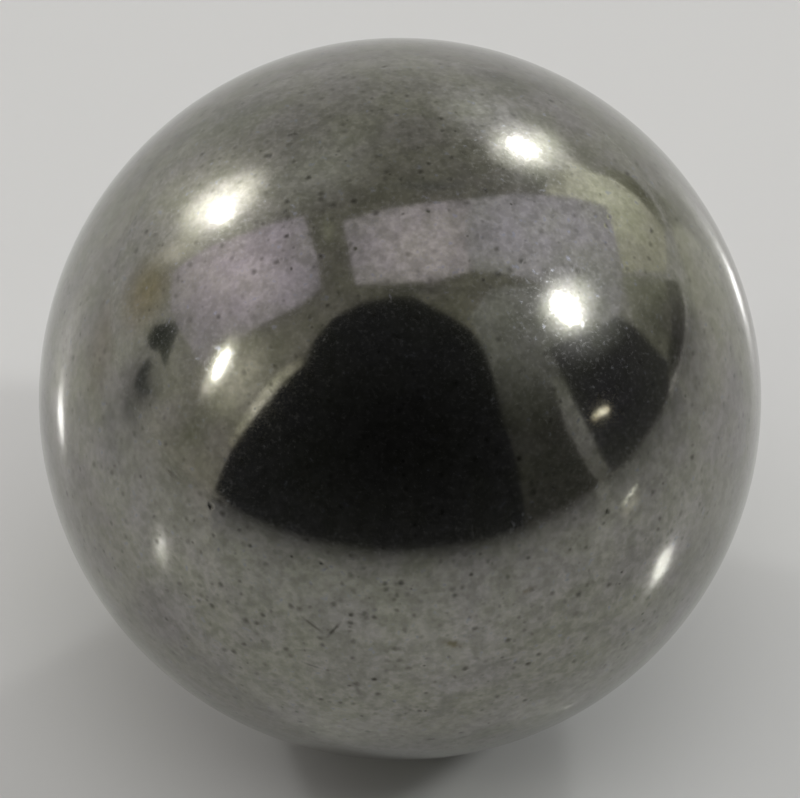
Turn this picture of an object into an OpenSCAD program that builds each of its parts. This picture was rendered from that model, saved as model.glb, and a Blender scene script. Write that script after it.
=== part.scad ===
// Loose steel ball, ground and polished from one piece of bearing steel.
// The ball's centre is the origin and +Z is up.

/* [Ball] */
// Diameter of the ball
ball_d = 25.4; // [3:0.1:60]

/* [Hidden] */

// Sides of the circles that the ball is drawn with in a preview
preview_sides = 180;

// The whole object: a true sphere with no flat, hole or seam
module ball() {
    color("slategray")
        sphere(d = ball_d, $fn = preview_sides);
}

ball();
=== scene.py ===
import math
import random

import bpy
import numpy as np
from mathutils import Matrix, Vector


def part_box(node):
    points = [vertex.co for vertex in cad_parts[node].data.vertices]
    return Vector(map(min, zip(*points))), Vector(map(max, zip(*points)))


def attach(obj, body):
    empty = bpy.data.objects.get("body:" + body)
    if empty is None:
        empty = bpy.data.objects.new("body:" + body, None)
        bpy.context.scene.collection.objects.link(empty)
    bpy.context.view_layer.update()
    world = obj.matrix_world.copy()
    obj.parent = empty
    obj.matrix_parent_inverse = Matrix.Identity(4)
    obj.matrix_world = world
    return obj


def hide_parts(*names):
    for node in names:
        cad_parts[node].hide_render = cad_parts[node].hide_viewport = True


mmPerMetre = 1000

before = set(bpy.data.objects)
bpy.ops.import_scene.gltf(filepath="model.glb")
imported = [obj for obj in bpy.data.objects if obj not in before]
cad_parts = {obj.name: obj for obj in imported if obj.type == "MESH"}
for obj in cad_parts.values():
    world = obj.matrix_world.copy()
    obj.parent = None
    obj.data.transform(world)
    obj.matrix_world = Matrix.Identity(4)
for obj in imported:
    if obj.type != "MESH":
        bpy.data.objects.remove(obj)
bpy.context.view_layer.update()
lowCorner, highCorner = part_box("ball")
ballRadius = min(highCorner - lowCorner) / 2  # fits inside the solid's faceted box
print("frame loaded, ball radius", round(ballRadius * mmPerMetre, 3), "mm")

# Camera: looks down on the ball from the -Y side, framed as the picture is

view = {
    "elevation": 45.0,  # degrees above the floor
    "radiiAway": 16.0,  # distance from the ball's centre, in ball radii
    "nearestSeen": 0.05,  # what is closer to the camera isn't drawn, in ball radii
    "frameWidth": 800,  # px
    "ballCentre": (400.0, 399.0),  # px, where the ball sits in the frame
    "ballOutline": 361.2,  # px, radius of the ball's outline
    "sensorWidth": 36.0,  # mm
}
focalPixels = view["ballOutline"] / math.tan(math.asin(1 / view["radiiAway"]))


def addCamera():
    tilt = math.radians(90 - view["elevation"])
    data = bpy.data.cameras.new("viewCamera")
    data.sensor_width = view["sensorWidth"]
    data.lens = focalPixels * view["sensorWidth"] / view["frameWidth"]
    data.clip_start = view["nearestSeen"] * ballRadius
    camera = bpy.data.objects.new("viewCamera", data)
    bpy.context.scene.collection.objects.link(camera)
    turn = Matrix.Rotation(tilt, 4, "X")
    away = Vector((0, 0, view["radiiAway"] * ballRadius))
    camera.matrix_world = turn @ Matrix.Translation(away)
    bpy.context.scene.camera = camera
    return camera


camera = addCamera()
towardsCamera = camera.matrix_world.translation.normalized()
print("camera set, lens", round(camera.data.lens, 1), "mm")


def pointOnBall(pixel):
    # the point of the ball that shows at a pixel, and the ray that sees it
    across = pixel[0] - view["ballCentre"][0]
    down = pixel[1] - view["ballCentre"][1]
    ray = camera.matrix_world.to_3x3() @ Vector((across, -down, -focalPixels))
    ray.normalize()
    eye = camera.matrix_world.translation
    along = -eye.dot(ray)
    missSquared = eye.length_squared - along * along
    along -= math.sqrt(max(ballRadius ** 2 - missSquared, 0))
    return eye + ray * along, ray


def mirroredPlace(pixel, distance):
    # the place that the ball mirrors at a pixel, that far from its surface
    point, ray = pointOnBall(pixel)
    return point + ray.reflect(point.normalized()) * distance


# Ball: a cube rounded to a sphere, with corrosion pits and scratches sunk into it

ball = {
    "name": "polishedBall",
    "firstCuts": 4,  # cuts across each side of the starting cube
    "halvings": 4,  # times that every face is then split in four
    "markCuts": 6,  # finer cuts where a mark is sunk
    "pitDepth": 0.05,  # in pit radii
    "pitTone": 0.7,  # how dark the widest pit is
    "pitStretch": (1.0, 1.25),  # least and most that a pit is drawn out one way
    "pitBumps": [(3, 0.08), (5, 0.05)],  # bumps round a pit's edge and their height, in pit radii
    "pitReach": 2.0,  # nothing further from a pit is pressed, in pit radii
    "scratchDepth": 0.03,  # in half widths
    "strokeWaves": 14.0,  # radians of waves along both edges of a stroke
    "strokeSwell": 0.15,  # height of those waves, in half widths
    "strokeTaper": 0.3,  # share of the length over which each end fades
    "strokeTip": 0.3,  # strength that is left at the very ends
    "phaseSpread": 6.0,  # radians, where bumps and waves may start
    "placeSeed": 7,
    "edgeSeed": 8,
    "strokeSeed": 9,
    "hiddenPits": 60,  # on the side that the camera doesn't see
    "hiddenScratches": 14,
    "hiddenBelow": 0.05,  # a pit is hidden where the cosine of its angle to the camera is less
    "mapName": "OFBake",
    "mapStart": (0.125, 0.0),  # where the starting cube's own map begins
    "mapSquare": 0.25,  # side of each of its squares
    "mapGrid": (3, 2),  # columns and rows of squares in the finished map
    "mapGap": 0.005,  # gap inside the edge of a square, in squares
    # pits seen: pixel across, pixel down, radius in mm
    "deepPits": [
        (607, 511, 0.17), (291, 606, 0.17), (401, 582, 0.16), (385, 583, 0.14),
        (286, 649, 0.15), (244, 644, 0.15), (692, 457, 0.16), (652, 231, 0.16),
        (295, 134, 0.14), (271, 155, 0.16), (294, 161, 0.13), (384, 67, 0.14),
        (609, 585, 0.16), (579, 594, 0.19), (211, 506, 0.15), (607, 226, 0.15),
    ],
    "finePits": [
        (586, 547, 0.11), (528, 557, 0.12), (397, 595, 0.12), (397, 610, 0.13),
        (414, 615, 0.12), (447, 613, 0.11), (519, 617, 0.12), (470, 617, 0.11),
        (500, 606, 0.11), (449, 657, 0.11), (435, 682, 0.11), (455, 677, 0.11),
        (405, 631, 0.13), (342, 583, 0.12), (321, 562, 0.12), (310, 607, 0.10),
        (271, 611, 0.11), (350, 622, 0.12), (350, 631, 0.11), (357, 685, 0.13),
        (154, 516, 0.11), (214, 535, 0.11), (201, 552, 0.11), (532, 634, 0.11),
        (115, 568, 0.12), (104, 551, 0.11), (212, 584, 0.10), (207, 600, 0.10),
        (372, 111, 0.12), (423, 116, 0.12), (396, 114, 0.11), (435, 102, 0.10),
        (442, 131, 0.12), (418, 148, 0.11), (330, 117, 0.10), (350, 181, 0.11),
        (401, 180, 0.11), (450, 180, 0.11), (428, 210, 0.12), (482, 221, 0.10),
        (609, 217, 0.10), (354, 249, 0.11), (377, 157, 0.10), (605, 665, 0.11),
    ],
    # scratches seen: pixels of both ends, half width in mm, depth of tone
    "scratches": [
        ((301, 616), (323, 633), 0.075, 0.5), ((327, 637), (341, 622), 0.085, 0.75),
        ((346, 622), (355, 624), 0.13, 0.65), ((302, 662), (322, 669), 0.075, 0.45),
        ((293, 650), (312, 650), 0.08, 0.25), ((390, 649), (403, 649), 0.16, 0.5),
        ((362, 617), (367, 610), 0.14, 0.4), ((164, 466), (181, 481), 0.12, 0.3),
        ((355, 683), (362, 700), 0.12, 0.3), ((400, 705), (416, 712), 0.12, 0.3),
        ((425, 739), (437, 739), 0.15, 0.5), ((498, 662), (518, 657), 0.1, 0.25),
        ((510, 111), (516, 117), 0.11, 0.5), ((373, 157), (384, 156), 0.12, 0.45),
        ((586, 588), (588, 582), 0.12, 0.35), ((349, 570), (353, 577), 0.12, 0.35),
        ((402, 632), (407, 627), 0.15, 0.4), ((352, 685), (360, 682), 0.15, 0.45),
        ((606, 511), (608, 511), 0.15, 1.0),
    ],
    # rust freckles seen: pixels of both ends, half width in mm, depth of tone
    "freckles": [((445, 642), (460, 646), 0.24, 0.8), ((520, 594), (534, 588), 0.18, 0.5)],
}


def castToSphere(piece):
    cast = piece.modifiers.new("trueSphere", "CAST")
    cast.factor = 1
    cast.size = ballRadius
    cast.use_radius_as_size = False
    bpy.ops.object.modifier_apply(modifier=cast.name)


def addRoundedCube():
    bpy.ops.object.select_all(action="DESELECT")
    bpy.ops.mesh.primitive_cube_add(size=2 * ballRadius)
    piece = bpy.context.object
    piece.name = ball["name"]
    piece.data.name = ball["name"]
    bpy.ops.object.mode_set(mode="EDIT")
    bpy.ops.mesh.select_all(action="SELECT")
    bpy.ops.mesh.subdivide(number_cuts=ball["firstCuts"])
    for turn in range(ball["halvings"]):  # rounding between the cuts keeps faces even
        bpy.ops.transform.tosphere(value=1)
        bpy.ops.mesh.subdivide(number_cuts=1)
    bpy.ops.object.mode_set(mode="OBJECT")
    castToSphere(piece)
    return piece


def readVectors(items, name):
    found = np.empty(len(items) * 3, np.float32)
    items.foreach_get(name, found)
    return found.reshape(-1, 3)


def randomWay(draw):
    return Vector([draw.gauss(0, 1) for axis in range(3)])


def choosePits():
    # seen pits by their pixels, then others spread over the far side
    draw = random.Random(ball["placeSeed"])
    seen = ball["deepPits"] + ball["finePits"]
    pits = [(pointOnBall((column, row))[0], radius / mmPerMetre) for column, row, radius in seen]
    while len(pits) < len(seen) + ball["hiddenPits"]:
        way = randomWay(draw).normalized()
        radius = draw.choice(seen)[2]
        if way.dot(towardsCamera) < ball["hiddenBelow"]:
            pits.append((way * ballRadius, radius / mmPerMetre))
    return pits


def chooseStrokes(strokes, hidden=0):
    # seen strokes by their pixels, then some of them turned to the far side
    draw = random.Random(ball["strokeSeed"])
    seen = []
    for start, end, halfWidth, tone in strokes:
        seen.append((pointOnBall(start)[0], pointOnBall(end)[0], halfWidth / mmPerMetre, tone))
    chosen = list(seen)
    while len(chosen) < len(seen) + hidden:
        start, end, halfWidth, tone = draw.choice(seen)
        axis = randomWay(draw)
        turn = Matrix.Rotation(draw.uniform(0, 2 * math.pi), 3, axis)
        if (turn @ start).dot(towardsCamera) < 0:
            chosen.append((turn @ start, turn @ end, halfWidth, tone))
    return chosen


def measureStroke(points, start, end):
    # how far each point lies from a stroke, and how far along it, from 0 to 1
    run = np.array(end - start)
    along = np.clip((points - np.array(start)) @ run / run.dot(run), 0, 1)
    nearest = np.array(start) + along[:, None] * run
    return np.linalg.norm(points - nearest, axis=1), along


def refineFaces(piece, pits, strokes):
    # finer faces where a mark will be
    mesh = piece.data
    centres = readVectors(mesh.polygons, "center")
    halfFace = ballRadius / (ball["firstCuts"] + 1) / 2 ** ball["halvings"]
    chosen = np.zeros(len(centres), bool)
    for place, radius in pits:
        apart = np.linalg.norm(centres - np.array(place), axis=1)
        chosen |= apart < radius + halfFace
    for start, end, halfWidth, tone in strokes:
        apart = measureStroke(centres, start, end)[0]
        chosen |= apart < halfWidth + halfFace
    bpy.ops.object.mode_set(mode="EDIT")
    bpy.ops.mesh.select_mode(type="FACE")
    bpy.ops.mesh.select_all(action="DESELECT")
    bpy.ops.object.mode_set(mode="OBJECT")
    mesh.polygons.foreach_set("select", chosen)
    bpy.ops.object.mode_set(mode="EDIT")
    bpy.ops.mesh.subdivide(number_cuts=ball["markCuts"])
    bpy.ops.object.mode_set(mode="OBJECT")
    castToSphere(piece)


def drawStroke(points, start, end, halfWidth, draw):
    # strength of a stroke at each point, fading from its middle line and towards its ends
    apart, along = measureStroke(points, start, end)
    waves = np.sin(ball["strokeWaves"] * along + draw.uniform(0, ball["phaseSpread"]))
    edge = halfWidth * (1 + ball["strokeSwell"] * waves)
    fromEnd = np.minimum(along, 1 - along)
    taper = np.clip(fromEnd / ball["strokeTaper"], ball["strokeTip"], 1)
    return np.clip(1 - (apart / edge) ** 2, 0, 1) ** 2 * taper


def drawPit(points, place, radius, draw):
    # depth of a pit at each point: a bowl with a soft, slightly uneven edge
    offset = points - np.array(place)
    lengthways = randomWay(draw).cross(place).normalized()
    sideways = lengthways.cross(place).normalized()
    stretch = draw.uniform(*ball["pitStretch"])
    along = offset @ np.array(lengthways) / (radius * stretch)
    aside = offset @ np.array(sideways) * stretch / radius
    turn = np.arctan2(aside, along)
    edge = 1
    for bumps, height in ball["pitBumps"]:
        edge = edge + height * np.sin(bumps * turn + draw.uniform(0, ball["phaseSpread"]))
    bowl = np.clip(1 - (along * along + aside * aside) / edge ** 2, 0, 1) ** 2
    return np.where(np.linalg.norm(offset, axis=1) < ball["pitReach"] * radius, bowl, 0)


def sinkMarks(piece, pits, scratches, freckles):
    # pits and scratches are pressed in, and each mark's strength is kept for the finish
    mesh = piece.data
    draw = random.Random(ball["edgeSeed"])
    corners = readVectors(mesh.vertices, "co")
    sink = np.zeros(len(corners))
    dirt = np.zeros(len(corners))
    rust = np.zeros(len(corners))
    widest = max(radius for place, radius in pits)
    for place, radius in pits:
        bowl = drawPit(corners, place, radius, draw)
        sink = np.maximum(sink, bowl * radius * ball["pitDepth"])
        dirt = np.maximum(dirt, bowl * radius / widest * ball["pitTone"])
    for start, end, halfWidth, tone in scratches:
        line = drawStroke(corners, start, end, halfWidth, draw)
        sink = np.maximum(sink, line * halfWidth * ball["scratchDepth"])
        dirt = np.maximum(dirt, line * tone)
    for start, end, halfWidth, tone in freckles:
        rust = np.maximum(rust, drawStroke(corners, start, end, halfWidth, draw) * tone)
    deepest = sink.max()
    group = piece.vertex_groups.new(name="marks")
    for index in np.nonzero(sink)[0]:
        group.add([int(index)], sink[index] / deepest, "REPLACE")
    press = piece.modifiers.new("pressMarks", "DISPLACE")
    press.direction = "NORMAL"
    press.vertex_group = group.name
    press.mid_level = 0
    press.strength = -deepest
    bpy.ops.object.modifier_apply(modifier=press.name)
    for name, values in (("dirtFill", dirt), ("rustFill", rust)):
        layer = mesh.attributes.new(name, "FLOAT", "POINT")
        layer.data.foreach_set("value", values.astype(np.float32))


def packMap(mesh):
    # the cube's six squares, spread over the whole map in columns and rows
    layer = mesh.uv_layers[0]
    layer.name = ball["mapName"]
    places = np.empty(len(mesh.loops) * 2, np.float32)
    layer.data.foreach_get("uv", places)
    places = (places.reshape(-1, 2) - np.array(ball["mapStart"])) / ball["mapSquare"]
    starts = np.empty(len(mesh.polygons), np.int32)
    counts = np.empty(len(mesh.polygons), np.int32)
    mesh.polygons.foreach_get("loop_start", starts)
    mesh.polygons.foreach_get("loop_total", counts)
    middles = np.add.reduceat(places, starts, axis=0) / counts[:, None]
    squares = np.floor(middles).astype(int)
    known = sorted(set(map(tuple, squares.tolist())))
    order = np.array([known.index(tuple(square)) for square in squares.tolist()])
    orderOfLoop = np.repeat(order, counts)
    inside = places - np.repeat(squares, counts, axis=0)
    inside = ball["mapGap"] + (1 - 2 * ball["mapGap"]) * inside
    columns = ball["mapGrid"][0]
    columnRow = np.stack([orderOfLoop % columns, orderOfLoop // columns], axis=1)
    packed = (columnRow + inside) / np.array(ball["mapGrid"])
    layer.data.foreach_set("uv", packed.astype(np.float32).ravel())
    return len(known)


ballPiece = addRoundedCube()
print("ball rounded,", len(ballPiece.data.polygons), "faces")
allPits = choosePits()
allScratches = chooseStrokes(ball["scratches"], ball["hiddenScratches"])
allFreckles = chooseStrokes(ball["freckles"])
refineFaces(ballPiece, allPits, allScratches + allFreckles)
sinkMarks(ballPiece, allPits, allScratches, allFreckles)
bpy.ops.object.shade_smooth()
mapSquares = packMap(ballPiece.data)
print(len(allPits), "pits and", len(allScratches), "scratches sunk,", mapSquares, "map squares")
print("ball has", sum(len(face.vertices) - 2 for face in ballPiece.data.polygons), "triangles")

# Steel: warm grey mirror with stains, specks, dashes, scuffs, dirt, rust, a little dust and a painted
# bluish sparkle tint on scuffs and glints

steel = {
    "warm": (0.281, 0.284, 0.231),
    "cool": (0.277, 0.269, 0.256),
    "dirt": (0.03, 0.029, 0.02),
    "rust": (0.12, 0.108, 0.056),
    # scuffs are real fine scratches; this cool tint on them is partly painted bluish sparkle
    "scuffAndSparkleTint": (0.258, 0.265, 0.272),
    # painted glint colour: a bluish tint where the coarse scuffs catch the lamps
    "paintedGlintTint": (0.264, 0.273, 0.284),
    "toneShares": (0.3, 0.4, 0.3),  # of drift, patches and stains in the turn from warm to cool
    "stainTones": (0.84, 1.1),  # darkest and palest stain, times the base tone
    "blotchTones": (0.91, 1.07),
    "scuffShare": 0.4,  # how much of its tint, partly painted bluish sparkle, a scuff takes
    "polish": 0.07,  # roughness of clean steel
    "haze": 0.1,  # roughness where the polish is dull
    "dull": 0.16,  # roughness of specks and scratches
    "dullFrom": 0.7,  # strength of dirt from which the steel is wholly dull
    "scuffed": 0.16,  # roughness of the finest scuffs
    "glint": 0.21,  # roughness of the few coarse scuffs that catch the lamps
    "dustRough": 0.34,  # fine dust is a thin, broken coat
    "dustIor": 2.2,
    "dustWeight": 0.24,
    # patterns: size in mm, detail and roughness of the noise,
    # and its levels where the effect starts and is full
    "drift": (6.0, 2, 0.5, 0.38, 0.62),
    "patches": (1.5, 3, 0.5, 0.35, 0.65),
    "stains": (0.55, 3, 0.6, 0.3, 0.7),
    "blotches": (0.26, 1, 0.5, 0.3, 0.7),
    "glints": (0.26, 1, 0.5, 0.65, 0.8),  # the peaks of the blotches
    "scuffs": (0.075, 1, 0.5, 0.55, 0.77),
    "dust": (0.13, 1, 0.5, 0.54, 0.74),
    "warpSize": 0.25,  # mm, of the noise that makes outlines uneven
    "warpDetail": 1,
    "warpReach": 0.09,  # mm
    # specks and dashes, by the inputs of their groups
    "specks": {"Cells": 2700.0, "Size": 0.5, "Share": 0.95},
    "dashes": {"Cells": 1500.0, "Width": 0.06, "Length": 0.5, "Share": 0.5},
    "speckSmallest": 0.4,  # radius of the smallest speck, as a share of the largest
    "speckFaintness": 2.1,  # the higher, the more specks are faint
    "speckTones": (0.2, 0.95),  # faintest and strongest speck
    "speckCrowd": (0.65, 0.95),  # their strength off and on the patches
    "dashTone": 0.35,
    # places that are more stained, each with a twin on the opposite side:
    # pixel, and the cosines of the angles from it at which the wear starts and is full
    "wornPlaces": [((420, 600), 0.5, 0.93), ((420, 200), 0.8, 0.96)],
    "leastWear": 0.65,  # stains elsewhere, as a share of those in the worn places
}
middleGrey = (0.5, 0.5, 0.5)  # random colours lie about it


def addNode(tree, kind, **settings):
    made = tree.nodes.new(kind)
    for name, value in settings.items():
        setattr(made, name, value)
    return made


def plug(tree, socket, value):
    # a link where the value is a socket, otherwise a plain setting
    if isinstance(value, bpy.types.NodeSocket):
        tree.links.new(value, socket)
    else:
        socket.default_value = value


def compute(tree, operation, *values):
    made = addNode(tree, "ShaderNodeMath", operation=operation)
    for socket, value in zip(made.inputs, values):
        plug(tree, socket, value)
    return made.outputs[0]


def strongest(tree, *masks):
    found = masks[0]
    for mask in masks[1:]:
        found = compute(tree, "MAXIMUM", found, mask)
    return found


def sumOfShares(tree, masks, shares):
    found = 0.0
    for mask, share in zip(masks, shares):
        found = compute(tree, "MULTIPLY_ADD", mask, share, found)
    return found


def computeVector(tree, operation, first, second=None, scale=None):
    made = addNode(tree, "ShaderNodeVectorMath", operation=operation)
    plug(tree, made.inputs[0], first)
    if second is not None:
        plug(tree, made.inputs[1], second)
    if scale is not None:
        plug(tree, made.inputs["Scale"], scale)
    return made.outputs["Value"] if operation in ("DOT_PRODUCT", "LENGTH") else made.outputs[0]


def remap(tree, value, low, high, toLow=0.0, toHigh=1.0, kind="SMOOTHSTEP"):
    made = addNode(tree, "ShaderNodeMapRange", interpolation_type=kind)
    for socket, setting in zip(made.inputs, (value, low, high, toLow, toHigh)):
        plug(tree, socket, setting)
    return made.outputs[0]


def between(tree, share, first, second):
    # runs evenly from the first value to the second
    return remap(tree, share, 0, 1, first, second, "LINEAR")


def blendColours(tree, share, first, second, kind="MIX"):
    # inputs 6 and 7 and output 2 are the node's colours
    made = addNode(tree, "ShaderNodeMix", data_type="RGBA", blend_type=kind)
    plug(tree, made.inputs[0], share)
    for socket, value in ((made.inputs[6], first), (made.inputs[7], second)):
        plug(tree, socket, (*value, 1) if isinstance(value, tuple) else value)
    return made.outputs[2]


def noise(tree, where, size, detail, roughness=0.5, output="Fac"):
    made = addNode(tree, "ShaderNodeTexNoise")
    plug(tree, made.inputs["Vector"], where)
    made.inputs["Scale"].default_value = mmPerMetre / size
    made.inputs["Detail"].default_value = detail
    made.inputs["Roughness"].default_value = roughness
    return made.outputs[output]


def pattern(tree, where, name):
    size, detail, roughness, start, full = steel[name]
    return remap(tree, noise(tree, where, size, detail, roughness), start, full)


def startGroup(name, inputs):
    tree = bpy.data.node_groups.new(name, "ShaderNodeTree")
    for label, kind, default in inputs:
        socket = tree.interface.new_socket(label, in_out="INPUT", socket_type=kind)
        if default is not None:
            socket.default_value = default
    tree.interface.new_socket("Mask", in_out="OUTPUT", socket_type="NodeSocketFloat")
    return tree, addNode(tree, "NodeGroupInput"), addNode(tree, "NodeGroupOutput")


def addCells(tree, inside):
    # cells of their own random numbers, one for each channel
    cells = addNode(tree, "ShaderNodeTexVoronoi", feature="F1")
    plug(tree, cells.inputs["Vector"], inside.outputs["Vector"])
    plug(tree, cells.inputs["Scale"], inside.outputs["Cells"])
    chance = addNode(tree, "ShaderNodeSeparateColor")
    plug(tree, chance.inputs[0], cells.outputs["Color"])
    return cells, chance


def speckGroup():
    # soft round specks of mixed sizes and strengths, one or none in each cell
    tree, inside, outside = startGroup("specks", [
        ("Vector", "NodeSocketVector", None),
        ("Cells", "NodeSocketFloat", 1000.0),  # cells in a metre
        ("Size", "NodeSocketFloat", 0.1),  # largest radius, in cells
        ("Share", "NodeSocketFloat", 0.5),  # cells that hold a speck
    ])
    cells, chance = addCells(tree, inside)
    radius = remap(tree, chance.outputs["Red"], 0, 1, steel["speckSmallest"], 1)
    radius = compute(tree, "MULTIPLY", inside.outputs["Size"], radius)
    spot = remap(tree, cells.outputs["Distance"], 0, radius, 1, 0)
    present = compute(tree, "LESS_THAN", chance.outputs["Green"], inside.outputs["Share"])
    strength = compute(tree, "POWER", chance.outputs["Blue"], steel["speckFaintness"])
    strength = between(tree, strength, *steel["speckTones"])
    strength = compute(tree, "MULTIPLY", present, strength)
    plug(tree, outside.inputs["Mask"], compute(tree, "MULTIPLY", spot, strength))
    return tree


def hairlineGroup():
    # short straight scratches, each a thin slice through its cell
    tree, inside, outside = startGroup("hairlines", [
        ("Vector", "NodeSocketVector", None),
        ("Cells", "NodeSocketFloat", 500.0),
        ("Width", "NodeSocketFloat", 0.02),  # half width, in cells
        ("Length", "NodeSocketFloat", 0.4),  # half length, in cells
        ("Share", "NodeSocketFloat", 0.5),
    ])
    cells, chance = addCells(tree, inside)
    scaled = computeVector(tree, "SCALE", inside.outputs["Vector"], scale=inside.outputs["Cells"])
    offset = computeVector(tree, "SUBTRACT", scaled, cells.outputs["Position"])
    tilt = computeVector(tree, "SUBTRACT", cells.outputs["Color"], middleGrey)
    tilt = computeVector(tree, "NORMALIZE", tilt)
    aside = compute(tree, "ABSOLUTE", computeVector(tree, "DOT_PRODUCT", offset, tilt))
    thin = remap(tree, aside, 0, inside.outputs["Width"], 1, 0)
    reach = remap(tree, computeVector(tree, "LENGTH", offset), 0, inside.outputs["Length"], 1, 0)
    present = compute(tree, "LESS_THAN", chance.outputs["Green"], inside.outputs["Share"])
    line = compute(tree, "MULTIPLY", thin, reach)
    plug(tree, outside.inputs["Mask"], compute(tree, "MULTIPLY", line, present))
    return tree


def placeGroup(tree, group, where, values):
    made = addNode(tree, "ShaderNodeGroup", node_tree=group)
    plug(tree, made.inputs["Vector"], where)
    for name, value in values.items():
        made.inputs[name].default_value = value
    return made.outputs["Mask"]


def readFill(tree, name):
    return addNode(tree, "ShaderNodeAttribute", attribute_name=name).outputs["Fac"]


def wornShare(tree, where):
    shares = []
    for pixel, outer, inner in steel["wornPlaces"]:
        axis = pointOnBall(pixel)[0].normalized() / ballRadius
        facing = compute(tree, "ABSOLUTE", computeVector(tree, "DOT_PRODUCT", where, axis))
        shares.append(remap(tree, facing, outer, inner, steel["leastWear"], 1))
    return strongest(tree, *shares)


def steelMaterial():
    material = bpy.data.materials.new("polishedSteel")
    material.use_nodes = True
    tree = material.node_tree
    shader = tree.nodes["Principled BSDF"]
    where = addNode(tree, "ShaderNodeTexCoord").outputs["Object"]

    # uneven outlines for the marks
    shake = noise(tree, where, steel["warpSize"], steel["warpDetail"], output="Color")
    shake = computeVector(tree, "SUBTRACT", shake, middleGrey)
    shake = computeVector(tree, "SCALE", shake, scale=steel["warpReach"] / mmPerMetre)
    uneven = computeVector(tree, "ADD", where, shake)

    drift = pattern(tree, where, "drift")
    patches = pattern(tree, where, "patches")
    stains = pattern(tree, where, "stains")
    blotches = pattern(tree, uneven, "blotches")
    glints = pattern(tree, uneven, "glints")
    scuffs = pattern(tree, where, "scuffs")
    dust = pattern(tree, where, "dust")
    specks = placeGroup(tree, speckGroup(), uneven, steel["specks"])
    dashes = placeGroup(tree, hairlineGroup(), uneven, steel["dashes"])
    worn = wornShare(tree, where)

    # base tone, stains, rust, and scuffs and glints with a painted bluish sparkle tint
    tone = sumOfShares(tree, (drift, patches, stains), steel["toneShares"])
    colour = blendColours(tree, tone, steel["warm"], steel["cool"])
    shade = remap(tree, stains, 0, 1, *steel["stainTones"])
    shade = compute(tree, "MULTIPLY", shade, remap(tree, blotches, 0, 1, *steel["blotchTones"]))
    shade = between(tree, worn, 1, shade)
    colour = blendColours(tree, 1.0, colour, shade, "MULTIPLY")
    colour = blendColours(tree, readFill(tree, "rustFill"), colour, steel["rust"])
    # scuffs: real fine scratches, with a partly painted bluish sparkle tint
    tinted = compute(tree, "MULTIPLY", scuffs, steel["scuffShare"])
    colour = blendColours(tree, tinted, colour, steel["scuffAndSparkleTint"])
    # painted glint colour: bluish tint on the glints, where coarse scuffs catch the lamps
    colour = blendColours(tree, glints, colour, steel["paintedGlintTint"])

    # dirt in the specks, dashes, pits and scratches
    crowd = compute(tree, "MULTIPLY", specks, remap(tree, patches, 0, 1, *steel["speckCrowd"]))
    crowd = compute(tree, "MULTIPLY", crowd, worn)
    dashes = compute(tree, "MULTIPLY", dashes, steel["dashTone"])
    marks = strongest(tree, crowd, dashes, readFill(tree, "dirtFill"))
    plug(tree, shader.inputs["Base Color"], blendColours(tree, marks, colour, steel["dirt"]))

    rough = remap(tree, stains, 0, 1, steel["haze"], steel["polish"])
    rough = remap(tree, marks, 0, steel["dullFrom"], rough, steel["dull"], "LINEAR")
    rough = between(tree, scuffs, rough, steel["scuffed"])
    rough = between(tree, glints, rough, steel["glint"])
    plug(tree, shader.inputs["Roughness"], rough)
    plug(tree, shader.inputs["Coat Weight"], compute(tree, "MULTIPLY", dust, steel["dustWeight"]))
    shader.inputs["Coat Roughness"].default_value = steel["dustRough"]
    shader.inputs["Coat IOR"].default_value = steel["dustIor"]
    shader.inputs["Metallic"].default_value = 1
    return material


ballPiece.data.materials.clear()
ballPiece.data.materials.append(steelMaterial())
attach(ballPiece, "root")
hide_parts("ball")
print("steel finish applied")

# Studio: a pale glossy sheet with a painted shadow towards the front, round lamps with soft glows, pale
# panels and dark cards

studio = {
    "sheetColour": (0.637, 0.643, 0.628),
    "sheetFrontShadow": (0.358, 0.362, 0.353),  # painted shadow: the sheet darkens towards the front, where the camera shades it
    "frontShadowReach": (0.02, 0.30),  # m, where that starts and ends
    "sheetGloss": 0.11,  # as the ball mirrors it
    "sheetMatte": 0.6,  # as it is seen directly
    "sheetHalf": 1.0,  # m
    "sheetFade": (0.25, 0.7),  # m, where the sheet starts to melt into the air and is gone
    "airFront": (0.42, 0.40, 0.35),
    "airBack": (0.64, 0.63, 0.62),
    "airTurn": (-0.7, 0.5),  # share of +Y in a direction where front air ends and back air is full
    "airOverhead": (0.23, 0.223, 0.19),
    "lampDistance": 2.0,  # m
    "fillPlace": (0, -0.12, 0.38),  # m, a broad lamp that lights the sheet and isn't mirrored
    "fillAcross": 0.25,  # m
    "fillRadiance": 2.2,
    "spotCorners": 20,
}
fanMap = {"middle": (0.5, 0.5, 0), "reach": 0.5}  # a new fan's own map, up to its corners

# lamps by the highlight that they show on the ball: pixels of its centre and of one end,
# half width in pixels, radiance
lamps = {
    "lampBackLeft": ((222, 212), (229, 206), 6, 70),
    "lampLeft": ((221, 364), (229, 349), 3.6, 15),
    "lampBackRight": ((522, 147), (531, 153), 4.5, 70),
    "lampRight": ((566, 308), (576, 319), 7, 60),
}

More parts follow.
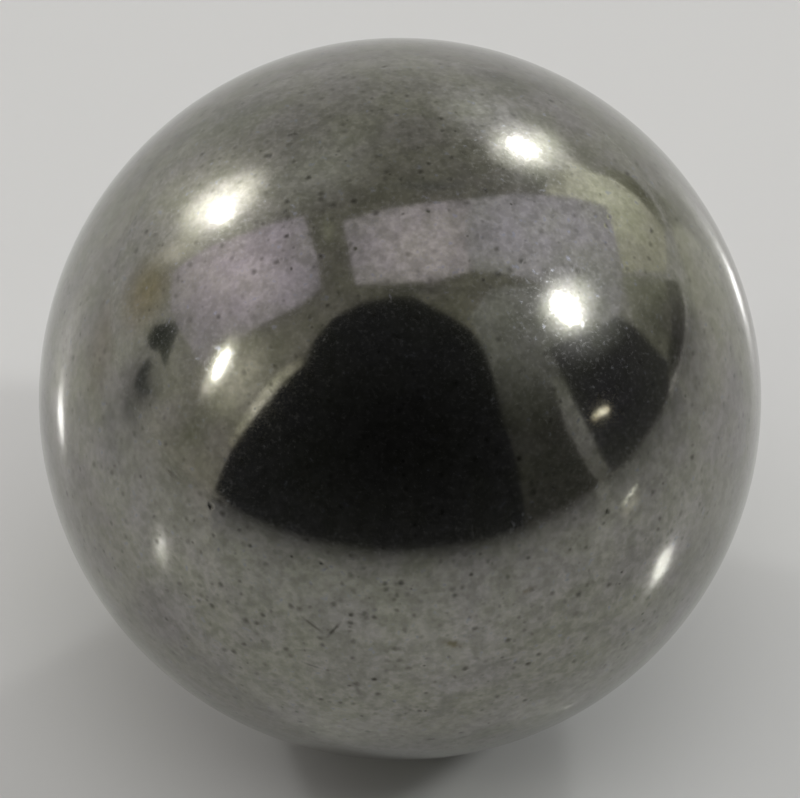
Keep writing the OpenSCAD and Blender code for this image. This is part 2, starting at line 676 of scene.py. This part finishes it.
# hard-edged cards by the outline that they show on the ball, in pixels;
# the tone runs from middle to edge with the distance from the centre, over the reach,
# and distance is how far off the card stands, in m
cards = {
    "panelLeft": {
        "outline": [(173, 273), (204, 250), (250, 232), (304, 216), (317, 257), (320, 288),
                    (302, 304), (268, 321), (240, 338), (204, 366), (182, 333), (171, 310)],
        "centre": (236, 266), "reach": (88, 84),
        "middle": (1.13, 1.01, 1.13), "edge": (0.6, 0.56, 0.62), "distance": 2.7,
    },
    "panelTop": {
        "outline": [(343, 221), (372, 213), (400, 207), (440, 202), (470, 200), (473, 240),
                    (472, 271), (434, 281), (400, 283), (356, 285)],
        "centre": (420, 248), "reach": (85, 70),
        "middle": (0.9, 0.82, 0.9), "edge": (0.58, 0.54, 0.6), "distance": 2.68,
    },
    "panelRight": {
        "outline": [(464, 200), (500, 195), (545, 195), (607, 207), (616, 240), (622, 277),
                    (614, 332), (590, 316), (560, 290), (520, 276), (467, 270)],
        "centre": (555, 238), "reach": (95, 80),
        "middle": (0.86, 0.83, 0.93), "edge": (0.62, 0.6, 0.65), "distance": 2.7,
    },
    "cardFront": {
        "outline": [(214, 490), (233, 447), (258, 412), (285, 380), (302, 366), (314, 340), (332, 319),
                    (360, 303), (395, 296), (414, 297), (444, 312), (470, 329), (484, 348), (494, 378),
                    (503, 420), (514, 452), (522, 490), (526, 530),
                    (470, 552), (400, 560), (330, 552), (265, 530)],
        "centre": (400, 440), "reach": (230, 170),
        "middle": (0.012, 0.012, 0.012), "edge": (0.036, 0.037, 0.039), "distance": 0.45,
    },
    "cardRim": {
        "outline": [(228, 442), (254, 402), (280, 371), (300, 357), (308, 368), (288, 384), (262, 416),
                    (238, 454)],
        "centre": (263, 399), "reach": (48, 54),
        "middle": (1.4, 1.36, 1.15), "edge": (0.5, 0.48, 0.38), "distance": 2.3,
    },
    "cardSide": {
        "outline": [(548, 348), (566, 337), (590, 333), (603, 324), (616, 316), (632, 324), (652, 345),
                    (672, 366), (669, 394), (656, 427), (633, 457), (611, 474), (599, 452), (575, 405)],
        "centre": (605, 395), "reach": (90, 100),
        "middle": (0.045, 0.045, 0.05), "edge": (0.085, 0.085, 0.085), "distance": 2.45,
    },
    "lampSmall": {
        "outline": [(592, 417), (597, 411), (605, 406), (610, 408), (608, 413), (601, 416), (594, 420)],
        "centre": (602, 412), "reach": (12, 9),
        "middle": (2.6, 2.5, 2.0), "edge": (1.9, 1.7, 1.2), "distance": 2.4,
    },
    # painted reflection: a glowing card just above the sheet that stands in for lampSmall's reflection
    # in the sheet
    "paintedLampSmallReflection": {
        "outline": [(621, 507), (627, 497), (636, 484), (638, 485), (629, 498), (623, 508)],
        "centre": (630, 496), "reach": (12, 16),
        "middle": (2.4, 2.4, 2.2), "edge": (1.5, 1.5, 1.35), "distance": 0.06,
    },
    "cardStrip": {
        "outline": [(549, 376), (560, 378), (577, 404), (600, 450), (614, 478), (600, 486), (584, 462),
                    (566, 428)],
        "centre": (570, 410), "reach": (70, 90),
        "middle": (0.33, 0.33, 0.31), "edge": (0.22, 0.22, 0.2), "distance": 2.5,
    },
    "cardWallRight": {
        "outline": [(548, 172), (576, 171), (602, 175), (628, 185), (652, 209), (664, 228), (666, 272),
                    (624, 273), (611, 230), (590, 212), (545, 196)],
        "centre": (596, 194), "reach": (75, 95),
        "middle": (1.22, 1.22, 1.05), "edge": (0.72, 0.71, 0.6), "distance": 2.75,
    },
    "cardEdgeRight": {
        "outline": [(604, 166), (632, 177), (654, 202), (667, 230), (664, 231), (649, 210), (627, 187),
                    (604, 174)],
        "centre": (640, 192), "reach": (42, 42),
        "middle": (0.27, 0.27, 0.21), "edge": (0.46, 0.46, 0.38), "distance": 2.6,
    },
    "cardRight": {
        "outline": [(664, 280), (678, 281), (685, 306), (685, 337), (678, 367), (669, 385), (667, 352),
                    (672, 326), (672, 300)],
        "centre": (675, 345), "reach": (30, 70),
        "middle": (0.08, 0.08, 0.075), "edge": (0.24, 0.24, 0.21), "distance": 2.44,
    },
    "cardWedge": {
        "outline": [(622, 277), (645, 276), (668, 280), (679, 300), (680, 345), (668, 376), (652, 347),
                    (634, 326), (629, 300)],
        "centre": (666, 326), "reach": (58, 66),
        "middle": (0.19, 0.19, 0.16), "edge": (0.47, 0.47, 0.41), "distance": 2.47,
    },
    "cardLeft": {
        "outline": [(146, 337), (155, 325), (176, 321), (179, 330), (171, 350), (165, 370), (160, 352),
                    (150, 349)],
        "centre": (160, 335), "reach": (32, 60),
        "middle": (0.07, 0.075, 0.07), "edge": (0.24, 0.245, 0.23), "distance": 2.45,
    },
    "cardLeftLow": {
        "outline": [(140, 368), (149, 357), (152, 366), (146, 382), (153, 393), (141, 396), (134, 384)],
        "centre": (141, 376), "reach": (30, 40),
        "middle": (0.1, 0.105, 0.1), "edge": (0.22, 0.225, 0.22), "distance": 2.45,
    },
    "cardShade": {
        "outline": [(470, 316), (490, 290), (520, 284), (550, 292), (590, 326), (562, 372), (612, 480),
                    (560, 540), (526, 545), (512, 480), (498, 430), (492, 380)],
        "centre": (520, 300), "reach": (2000, 130),
        "middle": (0.38, 0.38, 0.37), "edge": (0.07, 0.07, 0.062), "distance": 3.0,
    },
}

# soft spots of light and shade: pixels of the centre and of one end, half width in pixels,
# radiance, distance in m
spots = {
    "glowBackLeft": ((222, 204), (274, 170), 28, (4.2, 4.1, 3.9), 2.05),
    "glowLeft": ((220, 367), (240, 329), 13, (3.2, 3.1, 2.8), 2.05),
    "glowBackRight": ((527, 149), (580, 162), 31, (3.4, 3.4, 3.3), 2.05),
    "glowRight": ((568, 305), (569, 266), 37, (3.5, 3.5, 3.5), 2.05),
    "glowStreak": ((574, 168), (602, 183), 12, (1.25, 1.25, 1.1), 2.1),
    "hazeRight": ((576, 304), (572, 236), 63, (0.7, 0.71, 0.73), 2.1),
    "wallBackLeft": ((220, 208), (306, 158), 66, (1.3, 1.27, 1.18), 2.78),
    "wallLeft": ((236, 374), (264, 322), 42, (0.95, 0.92, 0.77), 2.15),
    "wallLeftHigh": ((182, 248), (216, 226), 19, (1.15, 1.1, 0.94), 2.76),
    "shadeLow": ((192, 432), (212, 396), 28, (0.3, 0.3, 0.24), 2.3),
    "wallGap": ((328, 226), (329, 250), 10, (0.42, 0.42, 0.34), 2.8),
    "wallLow": ((288, 342), (330, 318), 26, (0.37, 0.36, 0.3), 2.3),
    "wallBackMiddle": ((320, 168), (398, 130), 48, (0.54, 0.54, 0.5), 2.2),
    "wallBackRight": ((494, 118), (574, 146), 34, (0.88, 0.88, 0.87), 2.15),
    "wallWarm": ((148, 292), (174, 236), 32, (0.5, 0.44, 0.32), 2.8),
    "shadeTop": ((430, 186), (496, 184), 9, (0.2, 0.2, 0.19), 2.2),
    "shadeBackLeft": ((240, 116), (300, 84), 22, (0.5, 0.5, 0.48), 2.4),
    "shadeBackRight": ((505, 80), (560, 104), 22, (0.46, 0.46, 0.44), 2.4),
    "wallLowRight": ((532, 180), (580, 184), 13, (0.5, 0.5, 0.47), 2.2),
    "shadeMiddle": ((412, 290), (470, 288), 9, (0.14, 0.14, 0.125), 2.2),
    "shadeLeft": ((142, 386), (154, 338), 30, (0.2, 0.2, 0.19), 2.6),
    "shadeRight": ((650, 432), (622, 480), 13, (0.3, 0.3, 0.28), 2.62),
}


def addSheet():
    bpy.ops.object.select_all(action="DESELECT")
    bpy.ops.mesh.primitive_plane_add(size=2 * studio["sheetHalf"], location=(0, 0, lowCorner.z))
    sheet = bpy.context.object
    sheet.name = "sheet"
    bpy.ops.object.transform_apply(location=True)
    material = bpy.data.materials.new("paleSheet")
    material.use_nodes = True
    tree = material.node_tree
    shader = tree.nodes["Principled BSDF"]
    place = addNode(tree, "ShaderNodeTexCoord").outputs["Object"]
    split = addNode(tree, "ShaderNodeSeparateXYZ")
    plug(tree, split.inputs[0], place)
    # painted shadow of the camera: the sheet's colour darkens towards the front
    ahead = compute(tree, "MULTIPLY", split.outputs["Y"], -1)
    share = remap(tree, ahead, *studio["frontShadowReach"])
    tone = blendColours(tree, share, studio["sheetColour"], studio["sheetFrontShadow"])
    plug(tree, shader.inputs["Base Color"], tone)
    seen = addNode(tree, "ShaderNodeLightPath").outputs["Is Camera Ray"]
    rough = between(tree, seen, studio["sheetGloss"], studio["sheetMatte"])
    plug(tree, shader.inputs["Roughness"], rough)
    apart = computeVector(tree, "LENGTH", place)
    fade = addNode(tree, "ShaderNodeMixShader")
    plug(tree, fade.inputs[0], remap(tree, apart, *studio["sheetFade"]))
    plug(tree, fade.inputs[1], shader.outputs[0])
    plug(tree, fade.inputs[2], addNode(tree, "ShaderNodeBsdfTransparent").outputs[0])
    plug(tree, tree.nodes["Material Output"].inputs["Surface"], fade.outputs[0])
    sheet.data.materials.append(material)


def highlightAxes(centre, end, halfWidth):
    # from the centre to one end and to one side, in pixels
    lengthways = Vector(end) - Vector(centre)
    sideways = Vector((-lengthways.y, lengthways.x)).normalized() * halfWidth
    return lengthways, sideways


def addAreaLamp(name, place, turn, across, aside, radiance):
    data = bpy.data.lights.new(name, "AREA")
    data.shape = "ELLIPSE"
    data.size = across
    data.size_y = aside
    area = math.pi * across * aside / 4
    data.energy = radiance * math.pi * area
    lamp = bpy.data.objects.new(name, data)
    bpy.context.scene.collection.objects.link(lamp)
    lamp.matrix_world = Matrix.Translation(place) @ turn.to_4x4()
    lamp.visible_camera = False
    return lamp


def addLamp(name, centre, end, halfWidth, radiance):
    far = studio["lampDistance"]
    place = mirroredPlace(centre, far)
    lengthways, sideways = highlightAxes(centre, end, halfWidth)
    along = mirroredPlace(Vector(centre) + lengthways, far) - place
    aside = mirroredPlace(Vector(centre) + sideways, far) - place
    away = place.normalized()
    across = away.cross(along).normalized()
    turn = Matrix((across.cross(away), across, away)).transposed()
    addAreaLamp(name, place, turn, 2 * along.length, 2 * aside.length, radiance)


def addFill():
    place = Vector(studio["fillPlace"])
    turn = place.to_track_quat("Z", "Y").to_matrix()
    across = studio["fillAcross"]
    lamp = addAreaLamp("lampFill", place, turn, across, across, studio["fillRadiance"])
    lamp.visible_glossy = False


def addFan(name, corners):
    # a fan of triangles round a middle point, with its corners one unit away
    bpy.ops.object.select_all(action="DESELECT")
    bpy.ops.mesh.primitive_circle_add(vertices=corners, radius=1, fill_type="TRIFAN")
    piece = bpy.context.object
    piece.name = name
    piece.visible_camera = False
    return piece


def startGlow(piece):
    # a material of light alone, on the piece's own map
    material = bpy.data.materials.new(piece.name)
    material.use_nodes = True
    piece.data.materials.append(material)
    tree = material.node_tree
    tree.nodes.clear()
    place = addNode(tree, "ShaderNodeUVMap").outputs[0]
    light = addNode(tree, "ShaderNodeEmission")
    surface = addNode(tree, "ShaderNodeOutputMaterial").inputs["Surface"]
    return tree, place, light, surface


def addCard(name, card):
    outline = card["outline"]
    piece = addFan(name, len(outline))
    mesh = piece.data
    middle = tuple(sum(pixel[axis] for pixel in outline) / len(outline) for axis in range(2))
    hub = min(mesh.vertices, key=lambda vertex: vertex.co.length).index
    rest = iter(outline)
    pixels = [middle if vertex.index == hub else next(rest) for vertex in mesh.vertices]
    for vertex, pixel in zip(mesh.vertices, pixels):
        vertex.co = mirroredPlace(pixel, card["distance"])
    for loop in mesh.loops:
        pixel = pixels[loop.vertex_index]
        steps = [(pixel[axis] - card["centre"][axis]) / card["reach"][axis] for axis in range(2)]
        mesh.uv_layers[0].data[loop.index].uv = steps
    tree, place, light, surface = startGlow(piece)
    share = remap(tree, computeVector(tree, "LENGTH", place), 0, 1)
    plug(tree, light.inputs["Color"], blendColours(tree, share, card["middle"], card["edge"]))
    plug(tree, surface, light.outputs[0])


def addSpot(name, centre, end, halfWidth, radiance, distance):
    piece = addFan(name, studio["spotCorners"])
    lengthways, sideways = highlightAxes(centre, end, halfWidth)
    for vertex in piece.data.vertices:
        pixel = Vector(centre) + lengthways * vertex.co.x + sideways * vertex.co.y
        vertex.co = mirroredPlace(pixel, distance)
    tree, place, light, surface = startGlow(piece)
    light.inputs["Color"].default_value = (*radiance, 1)
    offset = computeVector(tree, "SUBTRACT", place, fanMap["middle"])
    apart = computeVector(tree, "LENGTH", offset)
    fade = addNode(tree, "ShaderNodeMixShader")
    plug(tree, fade.inputs[0], remap(tree, apart, 0, fanMap["reach"], 1, 0))
    plug(tree, fade.inputs[1], addNode(tree, "ShaderNodeBsdfTransparent").outputs[0])
    plug(tree, fade.inputs[2], light.outputs[0])
    plug(tree, surface, fade.outputs[0])


def addWorld():
    world = bpy.data.worlds.new("studioAir")
    bpy.context.scene.world = world
    world.use_nodes = True
    tree = world.node_tree
    split = addNode(tree, "ShaderNodeSeparateXYZ")
    plug(tree, split.inputs[0], addNode(tree, "ShaderNodeTexCoord").outputs["Generated"])
    back = remap(tree, split.outputs["Y"], *studio["airTurn"])
    climb = between(tree, split.outputs["Z"], 0, 1)
    low = blendColours(tree, back, studio["airFront"], studio["airBack"])
    air = blendColours(tree, climb, low, studio["airOverhead"])
    plug(tree, tree.nodes["Background"].inputs["Color"], air)


addSheet()
for name, values in lamps.items():
    addLamp(name, *values)
addFill()
for name, card in cards.items():
    addCard(name, card)
for name, values in spots.items():
    addSpot(name, *values)
addWorld()
bpy.context.scene.view_settings.view_transform = "Standard"
print("studio ready,", len(lamps), "lamps,", len(cards), "cards and", len(spots), "soft spots")
